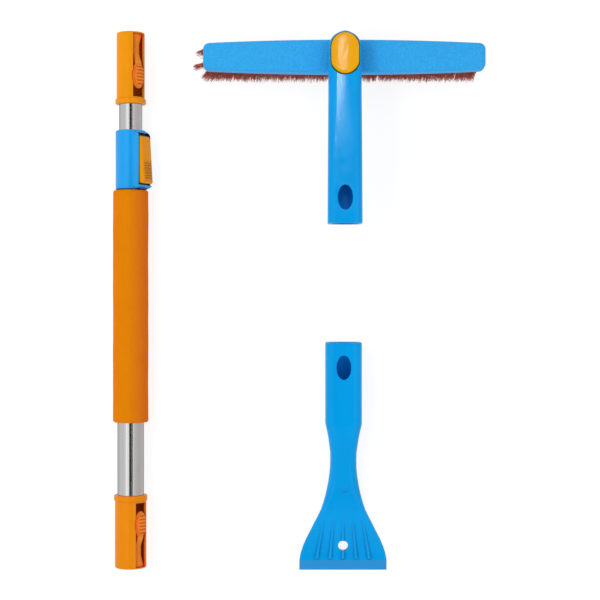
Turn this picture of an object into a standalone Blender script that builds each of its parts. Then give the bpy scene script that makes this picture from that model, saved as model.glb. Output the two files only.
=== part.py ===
"""Telescopic snow brush and ice scraper kit: a two-stage pole, a pivoting T brush head and a scraper.

The three items lie side by side on the ground, each along Y. Lengths are metres, +Z is up, and the
origin is on the ground under the middle of the kit.
"""

import math

import bmesh
import bpy
from mathutils import Matrix, Vector

GAP = 0.0003                    # play left between pieces that touch
ROUND = 48                      # facets of a large round piece
HIDDEN_ROUND = 32               # facets of a large round piece inside a tube
SMALL_ROUND = 16                # facets of a pin, rivet or screw

# Pole
POLE_X = -0.20025
FOAM_RADIUS = 0.0213
POLE_Z = FOAM_RADIUS
OUTER_RADIUS = 0.01585
INNER_RADIUS = 0.0138
TUBE_WALL = 0.0009
FOAM_TOP = 0.1338
FOAM_BOTTOM = -0.14395
FOAM_EDGE = 0.0022
OUTER_TOP = 0.1680
INNER_END = -0.1820
BUSH_LENGTH = 0.0120
SPIGOT_LENGTH = 0.0300
SPIGOT_WALL = 0.0022

# Clamp housing, lever and brake shoe, in a frame whose +Z is the lever's side of the pole
LEVER_TURN = math.radians(62)
HOUSING_RADIUS = 0.0180
HOUSING_TOP = 0.2054
HOUSING_BOTTOM = FOAM_TOP + GAP
BAY_HALF_WIDTH = 0.0138
BAY_HEIGHT = 0.0198
BAY_START = 0.1394
BAY_END = 0.2018
BAY_LEDGE = 0.0221
BAY_EDGE = 0.0012
LEVER_HALF_WIDTH = 0.0111
LEVER_PLAY = 0.0009
LEVER_SEAT = 0.0180
LEVER_TOP_HEIGHT = 0.0217
LEVER_TIP_HEIGHT = 0.0254
LEVER_TIP_Y = 0.1412
LEVER_SHOULDER = 0.0040
LEVER_EDGE = 0.0024
LEVER_RIBS = 8
LEVER_RIB_PITCH = 0.0029
LEVER_RIB_HIGH = 0.0008
LEVER_RIBS_FROM = -0.0510
PIN_Y = 0.1965
PIN_HEIGHT = 0.0180
PIN_RADIUS = 0.0009
PIN_HALF_LENGTH = 0.0129
CAM_RADIUS = 0.0021
CAM_OFFSET = 0.00045
SHOE_HALF_WIDTH = 0.0055
SHOE_HALF_LENGTH = 0.0045

# Connectors, in a frame whose origin is the flange's face, +Y the tip and +Z the latch's side
UPPER_TURN = math.radians(46)
LOWER_TURN = math.radians(52)
UPPER_FACE = 0.2430
LOWER_FACE = -0.2377
UPPER_BODY = 0.0168
LOWER_BODY = 0.0188
UPPER_FLANGE = 0.0183
LOWER_FLANGE = 0.0199
UPPER_FLANGE_THICK = 0.0060
LOWER_FLANGE_THICK = 0.0067
UPPER_LENGTH = 0.0797
LOWER_LENGTH = 0.0804
CONNECTOR_WALL = 0.0026
TIP_WALL = 0.0032
SLOT_HALF_WIDTH = 0.0083
SLOT_END_WALL = 0.0018
BUTTON_FROM_FLANGE = 0.0272
BUTTON_HALF_LENGTH = 0.0138
BUTTON_HALF_WIDTH = 0.0064
BUTTON_PROUD = 0.0025
BUTTON_RIBS = 6
BUTTON_RIB_PITCH = 0.0040
BUTTON_RIB_DEEP = 0.0012
PADDLE_HALF_LENGTH = 0.0152
PADDLE_HALF_WIDTH = 0.0090
PADDLE_PLAY = 0.0006
PADDLE_SINK = 0.0016
TONGUE_HALF_WIDTH = 0.0046
TONGUE_SINK = 0.0052
TONGUE_THICK = 0.0024
ROOT_HALF_WIDTH = 0.0076
ROOT_SINK = 0.0030

# Brush head: bristle tips on the ground, block, neck above it, and the pivot between them
HEAD_X = 0.05505
PIVOT_Y = 0.2895
BLOCK_HALF_LENGTH = 0.1668
BLOCK_HALF_MIDDLE = 0.0200
BLOCK_HALF_END = 0.0162
BLOCK_CORNER = 0.0075
BLOCK_BOTTOM = 0.0400
BLOCK_TOP = 0.0580
BLOCK_BEVEL = 0.0036
BOSS_RADIUS = 0.0135
BOSS_BORE = 0.0090
BOSS_TOP = 0.0645
SPRING_SEAT = 0.0480
NECK_BOTTOM = 0.0588
NECK_FLOOR = 0.0640
NECK_TOP = 0.0950
NECK_RIM_TOP = 0.0972
NECK_RIM_Y = 0.0910
NECK_HALF_WIDTH = 0.01895
NECK_RIM_HALF_WIDTH = 0.0202
NECK_HEAD_Y = 0.2954
NECK_CORNER = 0.0096
NECK_CROWN = 0.0018
CAP_RADIUS = 0.0163
CAP_HALF_STRAIGHT = 0.0078
CAP_GAP = 0.0008
CAP_SHIFT = -0.0026
CAP_CREST = 0.0968
CAP_SKIRT = 0.0840
GEAR_RADIUS = 0.0084
GEAR_TEETH = 12
GEAR_BOTTOM = 0.0603
GEAR_TOP = 0.0643
RING_RADIUS = 0.0168
RING_BOTTOM = BOSS_TOP + GAP
RING_TOP = 0.0668
RING_SCREW_CIRCLE = 0.0113
RING_SCREWS = 3

# Sockets and the oval latch holes that the connectors' buttons spring into
SOCKET_PLAY = 0.00035
SOCKET_DEPTH = 0.0840
HOLE_FROM_RIM = 0.0297
HOLE_HALF_WIDTH = 0.0088
HOLE_HALF_LENGTH = 0.0146

# Scraper
SCRAPER_X = 0.0549
SCRAPER_RIM_Y = -0.0481
SCRAPER_TIP_Y = -0.3247
SCRAPER_SOCKET_HALF = 0.0217
SCRAPER_WALL = 0.0028
HANG_HOLE_Y = -0.2947
HANG_HOLE_RADIUS = 0.0060


# ---------------------------------------------------------------- materials and objects

def material(name, colour, roughness, metallic=0.0):
    found = bpy.data.materials.get(name)
    if found:
        return found
    made = bpy.data.materials.new(name)
    made.use_nodes = True
    shader = made.node_tree.nodes["Principled BSDF"]
    shader.inputs["Base Color"].default_value = (*colour, 1.0)
    shader.inputs["Roughness"].default_value = roughness
    shader.inputs["Metallic"].default_value = metallic
    return made


def blue():
    return material("blue_plastic", (0.02, 0.34, 0.82), 0.35)


def orange():
    return material("orange_plastic", (0.87, 0.33, 0.01), 0.38)


def foam():
    return material("orange_foam", (0.76, 0.21, 0.01), 0.9)


def aluminium():
    return material("polished_aluminium", (0.78, 0.78, 0.78), 0.15, 1.0)


def steel():
    return material("steel", (0.55, 0.55, 0.56), 0.3, 1.0)


def white_plastic():
    return material("white_plastic", (0.8, 0.8, 0.78), 0.45)


def bristle():
    return material("red_bristle", (0.35, 0.06, 0.04), 0.6)


def finish_object(name, mesh, look, place, turn):
    mesh.materials.clear()
    mesh.materials.append(look)
    mesh.shade_smooth()
    mesh.set_sharp_from_angle(angle=math.radians(28))
    made = bpy.data.objects.new(name, mesh)
    made.location = place
    made.rotation_euler = turn.to_euler()
    bpy.context.collection.objects.link(made)
    return made


def loft(name, rings, look=None, closed=False, place=(0, 0, 0), turn=None):
    """Skin rings of equal point counts. Closed joins the last ring to the first, else ends are capped."""
    builder = bmesh.new()
    rows = [[builder.verts.new(point) for point in ring] for ring in rings]
    count = len(rows[0])
    pairs = list(zip(rows, rows[1:]))
    if closed:
        pairs.append((rows[-1], rows[0]))
    for low, high in pairs:
        for i in range(count):
            j = (i + 1) % count
            builder.faces.new((low[i], low[j], high[j], high[i]))
    if not closed:
        builder.faces.new(reversed(rows[0]))
        builder.faces.new(rows[-1])
    bmesh.ops.recalc_face_normals(builder, faces=builder.faces)
    mesh = bpy.data.meshes.new(name)
    builder.to_mesh(mesh)
    builder.free()
    return finish_object(name, mesh, look or steel(), place, turn or Matrix())


def combine(target, tool, operation):
    """Cut, join or intersect target with tool, keep the result in target, and remove the tool."""
    step = target.modifiers.new("combine", "BOOLEAN")
    step.operation = operation
    step.solver = "EXACT"
    step.object = tool
    bpy.context.view_layer.update()
    graph = bpy.context.evaluated_depsgraph_get()
    result = bpy.data.meshes.new_from_object(target.evaluated_get(graph))
    target.modifiers.clear()
    look = target.data.materials[0]
    target.data = result
    result.materials.clear()
    result.materials.append(look)
    for face in result.polygons:
        face.material_index = 0
    result.set_sharp_from_angle(angle=math.radians(28))
    bpy.data.objects.remove(tool)


def cut(target, *tools):
    for tool in tools:
        combine(target, tool, "DIFFERENCE")


def join(target, *pieces):
    for piece in pieces:
        combine(target, piece, "UNION")


# ---------------------------------------------------------------- outlines and simple solids

def circle(radius, count=ROUND):
    step = 2 * math.pi / count
    return [(radius * math.cos(i * step), radius * math.sin(i * step)) for i in range(count)]


def rounded_rectangle(half_wide, half_high, radius, per_corner=6):
    radius = min(radius, half_wide * 0.98, half_high * 0.98)
    points = []
    for corner, (side_x, side_y) in enumerate(((1, 1), (-1, 1), (-1, -1), (1, -1))):
        for i in range(per_corner + 1):
            angle = math.pi / 2 * (corner + i / per_corner)
            points.append((side_x * (half_wide - radius) + radius * math.cos(angle),
                           side_y * (half_high - radius) + radius * math.sin(angle)))
    return points


def stadium(radius, half_straight, per_end=16):
    """A long round outline along Y."""
    points = []
    for end in (1, -1):
        for i in range(per_end + 1):
            angle = math.pi * i / per_end + (0 if end == 1 else math.pi)
            points.append((radius * math.cos(angle), end * half_straight + radius * math.sin(angle)))
    return points


def turned(name, profile, look=None, closed=False, count=ROUND, place=(0, 0, 0), turn=None):
    """Turn (radius, y) points about the Y axis."""
    rings = [[(x, y, z) for x, z in circle(radius, count)] for radius, y in profile]
    return loft(name, rings, look, closed, place, turn)


def tube(name, outer, inner, start, end, look=None, place=(0, 0, 0), turn=None, count=ROUND):
    profile = ((inner, start), (outer, start), (outer, end), (inner, end))
    return turned(name, profile, look, True, count, place, turn)


def upright(name, outline, bottom, top, look=None, place=(0, 0, 0)):
    """Raise an XY outline from bottom to top."""
    rings = [[(x, y, z) for x, y in outline] for z in (bottom, top)]
    return loft(name, rings, look, place=place)


def crosswise(name, radius, half_length, y, z, look=None, place=(0, 0, 0), turn=None, count=SMALL_ROUND):
    """A round bar along X."""
    rings = [[(x, y + a, z + b) for a, b in circle(radius, count)] for x in (-half_length, half_length)]
    return loft(name, rings, look, place=place, turn=turn)


def box(name, low, high, place=(0, 0, 0), turn=None):
    outline = ((low[0], low[1]), (high[0], low[1]), (high[0], high[1]), (low[0], high[1]))
    rings = [[(x, y, z) for x, y in outline] for z in (low[2], high[2])]
    return loft(name, rings, place=place, turn=turn)


def eased(stations, t):
    """Value of a smooth curve through (t, value) stations, level only where the stations are."""
    if t <= stations[0][0]:
        return stations[0][1]
    for index in range(len(stations) - 1):
        (t0, v0), (t1, v1) = stations[index], stations[index + 1]
        if t > t1:
            continue
        before = stations[index - 1] if index else (2 * t0 - t1, v0)
        after = stations[index + 2] if index + 2 < len(stations) else (2 * t1 - t0, v1)
        span = t1 - t0
        slope0 = (v1 - before[1]) / (t1 - before[0]) * span
        slope1 = (after[1] - v0) / (after[0] - t0) * span
        u = (t - t0) / span
        return ((2 * u**3 - 3 * u**2 + 1) * v0 + (u**3 - 2 * u**2 + u) * slope0
                + (3 * u**2 - 2 * u**3) * v1 + (u**3 - u**2) * slope1)
    return stations[-1][1]


def spaced(start, end, count):
    return [start + (end - start) * i / (count - 1) for i in range(count)]


# ---------------------------------------------------------------- pole

POLE_PLACE = (POLE_X, 0, POLE_Z)
INNER_TOP = UPPER_FACE - UPPER_FLANGE_THICK - GAP
OUTER_BOTTOM = LOWER_FACE + LOWER_FLANGE_THICK + GAP
RIVET_FROM_FACE = 0.0170
RIVET_SHANK = 0.0016
RIVET_HEAD = 0.0030
RIVET_HEAD_HIGH = 0.0012


def rivet(name, surface, reach, y, side):
    """A dome-headed rivet through a tube's wall, standing out on one side (side is a Y turn)."""
    low = surface - reach
    high = surface + 0.0002
    profile = ((RIVET_SHANK, low), (RIVET_SHANK, high), (RIVET_HEAD, high),
               (RIVET_HEAD, high + RIVET_HEAD_HIGH * 0.5), (RIVET_HEAD * 0.55, high + RIVET_HEAD_HIGH))
    rings = [[(a, b, r) for a, b in circle(radius, SMALL_ROUND)] for radius, r in profile]
    return loft(name, rings, steel(), place=(POLE_X, y, POLE_Z), turn=Matrix.Rotation(side, 4, "Y"))


def rivet_hole(y, side, deep):
    rings = [[(a, b, r) for a, b in circle(RIVET_SHANK + GAP, SMALL_ROUND)] for r in (deep, 0.03)]
    return loft("hole", rings, place=(POLE_X, y, POLE_Z), turn=Matrix.Rotation(side, 4, "Y"))


UPPER_RIVET_Y = INNER_TOP - RIVET_FROM_FACE
LOWER_RIVET_Y = OUTER_BOTTOM + RIVET_FROM_FACE
HOUSING_RIVET_Y = 0.1500
RIVET_SIDE = math.pi


def outer_tube():
    made = tube("outer_tube", OUTER_RADIUS, OUTER_RADIUS - TUBE_WALL, OUTER_BOTTOM, OUTER_TOP,
                aluminium(), POLE_PLACE)
    cut(made, rivet_hole(LOWER_RIVET_Y, RIVET_SIDE, 0.008),
        rivet_hole(HOUSING_RIVET_Y, LEVER_TURN + RIVET_SIDE, 0.008))


def inner_tube():
    made = tube("inner_tube", INNER_RADIUS, INNER_RADIUS - TUBE_WALL, INNER_END, INNER_TOP,
                aluminium(), POLE_PLACE)
    cut(made, rivet_hole(UPPER_RIVET_Y, RIVET_SIDE, 0.008))


def foam_grip():
    bore = OUTER_RADIUS + GAP
    edge = FOAM_EDGE
    profile = ((bore, FOAM_BOTTOM), (FOAM_RADIUS - edge, FOAM_BOTTOM), (FOAM_RADIUS, FOAM_BOTTOM + edge),
               (FOAM_RADIUS, FOAM_TOP - edge), (FOAM_RADIUS - edge, FOAM_TOP), (bore, FOAM_TOP))
    turned("foam_grip", profile, foam(), True, ROUND, POLE_PLACE)


def tail_bush():
    """The plug on the inner tube's end that runs in the outer tube and stops it pulling out."""
    outside = OUTER_RADIUS - TUBE_WALL - GAP
    inside = INNER_RADIUS - TUBE_WALL - GAP
    hollow = inside - SPIGOT_WALL
    low = INNER_END - GAP - BUSH_LENGTH
    shoulder = INNER_END - GAP
    groove = 0.0008
    profile = [(hollow, low), (outside - groove, low), (outside, low + 0.001)]
    for reach, y in ((0, -0.0012), (groove, -0.0008), (groove, 0.0008), (0, 0.0012)):
        profile.append((outside - reach, low + BUSH_LENGTH * 0.5 + y))
    plug_end = shoulder + 0.018
    profile += [(outside, shoulder), (inside, shoulder), (inside, plug_end), (hollow, plug_end)]
    turned("tail_bush", profile, white_plastic(), True, HIDDEN_ROUND, POLE_PLACE)


def guide_sleeve():
    """The lining in the outer tube's mouth that the inner tube slides through."""
    tube("guide_sleeve", OUTER_RADIUS - TUBE_WALL - 0.0002, INNER_RADIUS + 0.0002, OUTER_TOP - 0.020,
         OUTER_TOP, white_plastic(), POLE_PLACE, count=HIDDEN_ROUND)


# ---------------------------------------------------------------- clamp

LEVER_FRAME = Matrix.Rotation(LEVER_TURN, 4, "Y")


def clamp_housing():
    edge = 0.0012
    outer_bore = OUTER_RADIUS + GAP
    inner_bore = INNER_RADIUS + GAP
    step = OUTER_TOP + GAP
    profile = ((outer_bore, HOUSING_BOTTOM), (HOUSING_RADIUS - edge, HOUSING_BOTTOM),
               (HOUSING_RADIUS, HOUSING_BOTTOM + edge), (HOUSING_RADIUS, HOUSING_TOP - edge),
               (HOUSING_RADIUS - edge, HOUSING_TOP), (inner_bore, HOUSING_TOP), (inner_bore, step),
               (outer_bore, step))
    made = turned("clamp_housing", profile, blue(), True, ROUND, POLE_PLACE, LEVER_FRAME)
    half = BAY_HALF_WIDTH
    stations = ((HOUSING_BOTTOM + 0.0004, 0.0150, 0.0118), (HOUSING_BOTTOM + 0.0026, 0.0195, 0.0133),
                (BAY_START - 0.0006, BAY_LEDGE, half), (BAY_START, BAY_LEDGE, half),
                (BAY_START + 0.0002, BAY_HEIGHT, half), (HOUSING_TOP - 0.0070, BAY_HEIGHT, half),
                (HOUSING_TOP - 0.0046, 0.0193, 0.0130), (HOUSING_TOP - 0.0024, 0.0180, 0.0112),
                (HOUSING_TOP - 0.0004, 0.0160, 0.0080))
    bay = loft("bay", [bay_ring(*station) for station in stations], place=POLE_PLACE, turn=LEVER_FRAME)
    clear = tube("clear", 0.0400, HOUSING_RADIUS - 0.0010, HOUSING_BOTTOM - 0.01, HOUSING_TOP + 0.01,
                 place=POLE_PLACE, turn=LEVER_FRAME)
    combine(bay, clear, "INTERSECT")
    join(made, bay)
    room = LEVER_HALF_WIDTH + LEVER_PLAY
    shoe_side = SHOE_HALF_WIDTH + GAP
    shoe_end = SHOE_HALF_LENGTH + GAP
    hub_floor = PIN_HEIGHT - CAM_RADIUS - CAM_OFFSET - GAP
    sky = 0.04
    cut(made,
        box("lever_room", (-room, BAY_START, LEVER_SEAT - GAP), (room, BAY_END, sky), POLE_PLACE, LEVER_FRAME),
        box("hub_room", (-room, PIN_Y - 0.0030, hub_floor), (room, BAY_END, sky), POLE_PLACE, LEVER_FRAME),
        box("shoe_room", (-shoe_side, PIN_Y - shoe_end, 0.0110), (shoe_side, PIN_Y + shoe_end, sky),
            POLE_PLACE, LEVER_FRAME),
        crosswise("pin_hole", PIN_RADIUS + 0.0002, PIN_HALF_LENGTH + 0.0002, PIN_Y, PIN_HEIGHT,
                  place=POLE_PLACE, turn=LEVER_FRAME),
        rivet_hole(HOUSING_RIVET_Y, LEVER_TURN + RIVET_SIDE, 0.008))


def bay_ring(y, high, half):
    """The raised bay's section, from inside the round housing up to its flat top."""
    root = 0.0100
    edge = BAY_EDGE
    return [(-half, y, root), (-half, y, high - edge), (-half + edge, y, high), (half - edge, y, high),
            (half, y, high - edge), (half, y, root)]


def lever_place():
    return Vector(POLE_PLACE) + LEVER_FRAME @ Vector((0, PIN_Y, PIN_HEIGHT))


def lever_ring(y, top, under, wide, rib):
    """The lever's section: a soft shoulder on one side, a small edge on the other, a rib on top."""
    shoulder = min(LEVER_SHOULDER, (top - under) * 0.8)
    edge = min(LEVER_EDGE, (top - under) * 0.8)
    ring = [(-wide, y, under)]
    for a in spaced(math.pi, math.pi / 2, 5):
        ring.append((-wide + shoulder * (1 + math.cos(a)), y, top - shoulder * (1 - math.sin(a))))
    ring += [(-wide + LEVER_SHOULDER + 0.0010, y, top + rib), (wide - LEVER_EDGE - 0.0006, y, top + rib)]
    for a in spaced(math.pi / 2, 0, 4):
        ring.append((wide - edge * (1 - math.cos(a)), y, top - edge * (1 - math.sin(a))))
    return ring + [(wide, y, under)]


def clamp_lever():
    """A flip lever on a pin near its top end; its round end is an eccentric cam over the brake shoe."""
    tip = LEVER_TIP_Y - PIN_Y
    under = LEVER_SEAT + GAP - PIN_HEIGHT
    high_end = LEVER_TOP_HEIGHT - PIN_HEIGHT
    high_tip = LEVER_TIP_HEIGHT - PIN_HEIGHT
    stations = [(tip, 0.0016, 0), (tip + 0.0007, 0.0005, 0), (tip + 0.0020, 0, 0)]
    for index in range(LEVER_RIBS):
        start = LEVER_RIBS_FROM + index * LEVER_RIB_PITCH
        for along, rib in ((0, 0), (0.0005, 1), (0.0012, 1), (0.0017, 0)):
            stations.append((start + along, 0, rib * LEVER_RIB_HIGH))
    stations += [(-0.0200, 0, 0), (-0.0030, 0, 0), (-0.0012, 0.0004, 0), (0.0003, 0.0011, 0),
                 (0.0012, 0.0021, 0)]
    rings = []
    for y, fall, rib in stations:
        top = high_tip + (high_end - high_tip) * (y - tip) / -tip - fall
        rings.append(lever_ring(y, top, under, LEVER_HALF_WIDTH - fall * 0.5, rib))
    made = loft("clamp_lever", rings, orange(), place=lever_place(), turn=LEVER_FRAME)
    hub = crosswise("hub", CAM_RADIUS, LEVER_HALF_WIDTH - 0.0012, 0, -CAM_OFFSET, place=lever_place(),
                    turn=LEVER_FRAME, count=32)
    join(made, hub)
    cut(made, crosswise("bore", PIN_RADIUS + GAP, 0.02, 0, 0, place=lever_place(), turn=LEVER_FRAME))


def lever_pin():
    crosswise("lever_pin", PIN_RADIUS, PIN_HALF_LENGTH, PIN_Y, PIN_HEIGHT, steel(), POLE_PLACE, LEVER_FRAME)


def brake_shoe():
    """The pad that the cam drives against the inner tube."""
    top = PIN_HEIGHT - CAM_RADIUS - CAM_OFFSET - GAP
    hollow = INNER_RADIUS + GAP
    half = SHOE_HALF_WIDTH
    under = [(x, math.sqrt(hollow**2 - x**2)) for x in spaced(-half, half, 9)]
    section = under + [(half, top), (-half, top)]
    rings = [[(x, y, z) for x, z in section] for y in (PIN_Y - SHOE_HALF_LENGTH, PIN_Y + SHOE_HALF_LENGTH)]
    loft("brake_shoe", rings, material("black_rubber", (0.02, 0.02, 0.02), 0.7), place=POLE_PLACE,
         turn=LEVER_FRAME)


# ---------------------------------------------------------------- connectors

def connector(name, body, flange, flange_thick, length, bore, place, turn):
    """A sleeve with a closed tip and a latch slot, a flange, and a spigot that plugs the tube."""
    inside = body - CONNECTOR_WALL
    spigot = bore - GAP
    hollow = spigot - SPIGOT_WALL
    foot = -flange_thick - SPIGOT_LENGTH
    edge = 0.0010
    profile = ((inside, length - TIP_WALL), (inside, 0.002), (hollow, 0), (hollow, foot), (spigot, foot),
               (spigot, -flange_thick), (flange - edge * 0.6, -flange_thick),
               (flange, -flange_thick + edge * 0.6), (flange, -edge * 0.6), (flange - edge * 0.6, 0),
               (body, 0), (body, length - edge * 1.6),
               (body - edge * 0.5, length - edge * 0.5), (body - edge * 1.6, length))
    made = turned(name, profile, orange(), place=place, turn=turn)
    slot = SLOT_HALF_WIDTH
    paddle = ellipse(PADDLE_HALF_WIDTH + PADDLE_PLAY, PADDLE_HALF_LENGTH + PADDLE_PLAY)
    rings = [[(x, BUTTON_FROM_FLANGE + y, z) for x, y in paddle] for z in (0.004, 0.03)]
    cut(made,
        box("slot", (-slot, 0.0018, 0.004), (slot, length - SLOT_END_WALL, 0.03), place, turn),
        loft("oval", rings, place=place, turn=turn),
        back_hole(RIVET_FROM_FACE + flange_thick, place))
    return made


def back_hole(distance, place):
    y = place[1] - distance if place[1] > 0 else place[1] + distance
    return rivet_hole(y, RIVET_SIDE, 0.008)


def ellipse(half_wide, half_long, count=36):
    return [(half_wide * x, half_long * y) for x, y in circle(1, count)]


def latch_stations():
    """Places along the latch, each with how deep a groove cuts its button there."""
    middle = BUTTON_FROM_FLANGE
    paddle = PADDLE_HALF_LENGTH
    places = [(middle - paddle * share, 0) for share in (0.998, 0.97, 0.91)]
    first = middle - (BUTTON_RIBS - 1) / 2 * BUTTON_RIB_PITCH
    for index in range(BUTTON_RIBS):
        groove = first + index * BUTTON_RIB_PITCH
        for along, deep in ((-0.0010, 0), (-0.0005, 1), (0.0005, 1), (0.0010, 0)):
            places.append((groove + along, deep * BUTTON_RIB_DEEP))
    return places + [(middle + paddle * share, 0) for share in (0.91, 0.97, 1.06, 1.25, 1.5, 1.8)]


def latch(name, body, length, place, turn):
    """A springy tongue, rooted deep at the tip, that carries a paddle with an oval ribbed button."""
    root = length - SLOT_END_WALL - 0.0004
    stations = latch_stations() + [(root - 0.0130, 0), (root - 0.0060, 0), (root - 0.0020, 0), (root, 0)]
    dip = ((BUTTON_FROM_FLANGE + PADDLE_HALF_LENGTH, PADDLE_SINK),
           (BUTTON_FROM_FLANGE + PADDLE_HALF_LENGTH + 0.0110, TONGUE_SINK),
           (root - 0.0120, TONGUE_SINK), (root, ROOT_SINK))
    flare = ((root - 0.0130, TONGUE_HALF_WIDTH), (root - 0.0020, ROOT_HALF_WIDTH), (root, ROOT_HALF_WIDTH))
    edge = BUTTON_HALF_WIDTH / PADDLE_HALF_WIDTH
    sides = (-1, -0.5 - edge / 2, -edge, -edge * 0.86, -edge * 0.5, 0, edge * 0.5, edge * 0.86, edge,
             0.5 + edge / 2, 1)
    rings = []
    for y, groove in stations:
        paddle = math.sqrt(max(0.0, 1 - ((y - BUTTON_FROM_FLANGE) / PADDLE_HALF_LENGTH) ** 2))
        button = math.sqrt(max(0.0, 1 - ((y - BUTTON_FROM_FLANGE) / BUTTON_HALF_LENGTH) ** 2))
        half = max(PADDLE_HALF_WIDTH * paddle, eased(flare, y) if y > BUTTON_FROM_FLANGE else 0.0012)
        surface = body - eased(dip, y)
        ring = []
        for side in sides:
            x = half * side
            swell = (PADDLE_SINK + BUTTON_PROUD) * button**0.6 * (1 if abs(side) < edge * 0.9 else 0)
            ring.append((x, y, math.sqrt(surface**2 - x * x) + max(0.0, swell - groove)))
        under = surface - TONGUE_THICK
        ring += [(x, y, math.sqrt(under**2 - x * x)) for x in spaced(half, -half, 5)]
        rings.append(ring)
    pivot = Vector((0, root - 0.0006, body - ROOT_SINK - TONGUE_THICK / 2))
    return pivoted(name, rings, pivot, orange(), place, turn)


def pivoted(name, rings, pivot, look, place, turn):
    """A loft whose origin is moved to its joint's axis."""
    moved = [[Vector(point) - pivot for point in ring] for ring in rings]
    return loft(name, moved, look, place=Vector(place) + turn @ pivot, turn=turn)


def connectors():
    upper_place = (POLE_X, UPPER_FACE, POLE_Z)
    upper_turn = Matrix.Rotation(UPPER_TURN, 4, "Y")
    lower_place = (POLE_X, LOWER_FACE, POLE_Z)
    lower_turn = Matrix.Rotation(LOWER_TURN, 4, "Y") @ Matrix.Rotation(math.pi, 4, "Z")
    connector("upper_connector", UPPER_BODY, UPPER_FLANGE, UPPER_FLANGE_THICK, UPPER_LENGTH,
              INNER_RADIUS - TUBE_WALL, upper_place, upper_turn)
    connector("lower_connector", LOWER_BODY, LOWER_FLANGE, LOWER_FLANGE_THICK, LOWER_LENGTH,
              OUTER_RADIUS - TUBE_WALL, lower_place, lower_turn)
    latch("upper_latch", UPPER_BODY, UPPER_LENGTH, upper_place, upper_turn)
    latch("lower_latch", LOWER_BODY, LOWER_LENGTH, lower_place, lower_turn)
    rivet("upper_rivet", INNER_RADIUS, 0.0045, UPPER_RIVET_Y, RIVET_SIDE)
    rivet("lower_rivet", OUTER_RADIUS, 0.0045, LOWER_RIVET_Y, RIVET_SIDE)
    rivet("housing_rivet", HOUSING_RADIUS, 0.0030, HOUSING_RIVET_Y, LEVER_TURN + RIVET_SIDE)


# ---------------------------------------------------------------- brush head

HEAD_PLACE = (HEAD_X, PIVOT_Y, 0)


def block_outline(inset):
    """The barrel-shaped plan of the block, drawn in by an inset."""
    length = BLOCK_HALF_LENGTH - inset
    corner = BLOCK_CORNER - inset * 0.5
    flat = length - corner
    middle = BLOCK_HALF_MIDDLE - inset
    end = BLOCK_HALF_END - inset
    side = [(x, middle - (middle - end) * (x / flat) ** 2) for x in spaced(flat, -flat, 15)]
    turn = [(math.cos(a), math.sin(a)) for a in spaced(0, math.pi / 2, 6)]
    right = [(flat + corner * c, end - corner + corner * s) for c, s in turn[:-1]]
    left = [(-flat - corner * s, end - corner + corner * c) for c, s in turn[1:]]
    upper = right + side + left
    return upper + [(-x, -y) for x, y in upper]


def brush_block():
    levels = ((BLOCK_BOTTOM, 0.0006), (BLOCK_BOTTOM + 0.0006, 0), (BLOCK_TOP - BLOCK_BEVEL, 0.0004),
              (BLOCK_TOP - BLOCK_BEVEL * 0.28, BLOCK_BEVEL * 0.45), (BLOCK_TOP, BLOCK_BEVEL))
    rings = [[(x, y, z) for x, y in block_outline(inset)] for z, inset in levels]
    made = loft("brush_block", rings, blue(), place=HEAD_PLACE)
    join(made, upright("boss", circle(BOSS_RADIUS), BLOCK_TOP - 0.002, BOSS_TOP, place=HEAD_PLACE))
    cut(made, upright("bore", circle(BOSS_BORE, 32), SPRING_SEAT, 0.08, place=HEAD_PLACE))
    for x, y in ring_screw_places():
        spot = (HEAD_X + x, PIVOT_Y + y, 0)
        cut(made, upright("screw_hole", circle(0.0014, 12), 0.0550, 0.08, place=spot))


def ring_screw_places():
    turns = [2 * math.pi * i / RING_SCREWS + math.pi / 2 for i in range(RING_SCREWS)]
    return [(RING_SCREW_CIRCLE * math.cos(a), RING_SCREW_CIRCLE * math.sin(a)) for a in turns]


def retainer_ring():
    made = upright("retainer_ring", circle(RING_RADIUS), RING_BOTTOM, RING_TOP, steel(), HEAD_PLACE)
    cut(made, upright("bore", circle(BOSS_BORE + 0.0004, 32), 0.05, 0.08, place=HEAD_PLACE))
    for index, (x, y) in enumerate(ring_screw_places()):
        spot = (HEAD_X + x, PIVOT_Y + y, 0)
        cut(made, upright("screw_hole", circle(0.0014, 12), 0.05, 0.08, place=spot))
        head = RING_TOP + GAP
        levels = ((0.0011, 0.0556), (0.0011, head), (0.0020, head), (0.0020, head + 0.0008),
                  (0.0013, head + 0.0014))
        rings = [[(a, b, z) for a, b in circle(radius, 12)] for radius, z in levels]
        screw = loft(f"ring_screw_{index + 1}", rings, steel(), place=spot)
        slot = 0.0003
        cut(screw, box("drive", (-slot, -0.003, head + 0.0009), (slot, 0.003, 0.08), spot))


def bristle_rows():
    """Four banks of bristles, leaning a little to the left and spread at their tips."""
    for index, y in enumerate((-0.0111, -0.0037, 0.0037, 0.0111)):
        root = (-0.1600, 0.1600, y - 0.0034, y + 0.0034, BLOCK_BOTTOM - GAP)
        spread = y * 0.12
        tip = (-0.1740, 0.1600, y - 0.0034 + spread, y + 0.0034 + spread, 0)
        rings = []
        for left, right, near, far, z in (tip, root):
            rings.append([(left, near, z), (right, near, z), (right, far, z), (left, far, z)])
        loft(f"bristle_row_{index + 1}", rings, bristle(), place=HEAD_PLACE)


def neck_section(y, half_wide, top):
    """A rounded box whose top is crowned near the head and flat along the socket."""
    middle = (top + NECK_BOTTOM) / 2
    half_high = (top - NECK_BOTTOM) / 2
    outline = rounded_rectangle(half_wide, half_high, NECK_CORNER)
    per_side = len(outline) // 4
    (right, high), (left, _) = outline[per_side - 1], outline[per_side]
    across = [(x, high) for x in spaced(right, left, 7)[1:-1]]
    crown = NECK_CROWN * eased(((0.19, 0), (0.265, 1)), y)
    points = outline[:per_side] + across + outline[per_side:]
    return [(x, y, middle + z - (crown * (x / half_wide) ** 2 if z > 0 else 0)) for x, z in points]


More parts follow.
